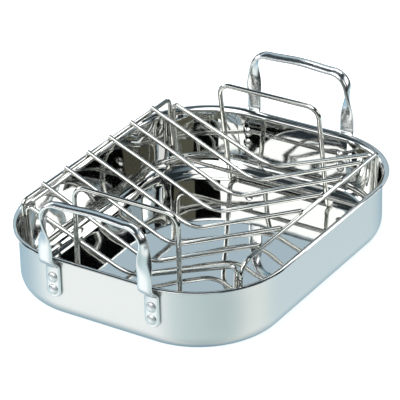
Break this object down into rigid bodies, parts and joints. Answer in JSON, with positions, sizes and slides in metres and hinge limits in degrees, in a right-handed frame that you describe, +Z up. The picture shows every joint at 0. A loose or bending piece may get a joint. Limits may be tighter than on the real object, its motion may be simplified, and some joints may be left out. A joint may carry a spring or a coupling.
{
  "type": "roasting pan with rack",
  "caption": "Rounded rectangular roasting pan with riveted upright handles and a loose V-shaped wire rack that lifts out by two loop handles.",
  "frame": {"origin": "on the surface that the pan stands on, under the middle of the pan", "axes": "+Z up; Y runs along the pan, from the near pan handle (-Y) to the far one (+Y); X runs across it, +X to the right seen from the near handle"},
  "size_m": [0.324, 0.4334, 0.1521],
  "materials": {
    "pan_sheet": "satin outside, mirror polished inside",
    "handle_steel": "polished, with soft rounded edges",
    "rivet_steel": "polished domed heads",
    "rack_wire": "bright plated round wire"
  },
  "bodies": {
    "pan": {"pan_body": "pan_sheet", "near_pan_handle": "handle_steel", "far_pan_handle": "handle_steel", "near_left_upper_rivet": "rivet_steel", "near_left_lower_rivet": "rivet_steel", "near_right_upper_rivet": "rivet_steel", "near_right_lower_rivet": "rivet_steel", "far_left_upper_rivet": "rivet_steel", "far_left_lower_rivet": "rivet_steel", "far_right_upper_rivet": "rivet_steel", "far_right_lower_rivet": "rivet_steel"},
    "rack": {"near_end_frame": "rack_wire", "far_end_frame": "rack_wire", "left_rail": "rack_wire", "right_rail": "rack_wire", "cradle_wire_1": "rack_wire", "cradle_wire_2": "rack_wire", "cradle_wire_3": "rack_wire", "cradle_wire_4": "rack_wire", "cradle_wire_5": "rack_wire", "cradle_wire_6": "rack_wire", "near_rack_handle": "rack_wire", "far_rack_handle": "rack_wire"}
  },
  "joints": [
    {"name": "rack_lift", "type": "slide", "parent": "pan", "child": "rack", "axis": [0, 0, 1], "range_m": [0, 0.16]}
  ]
}
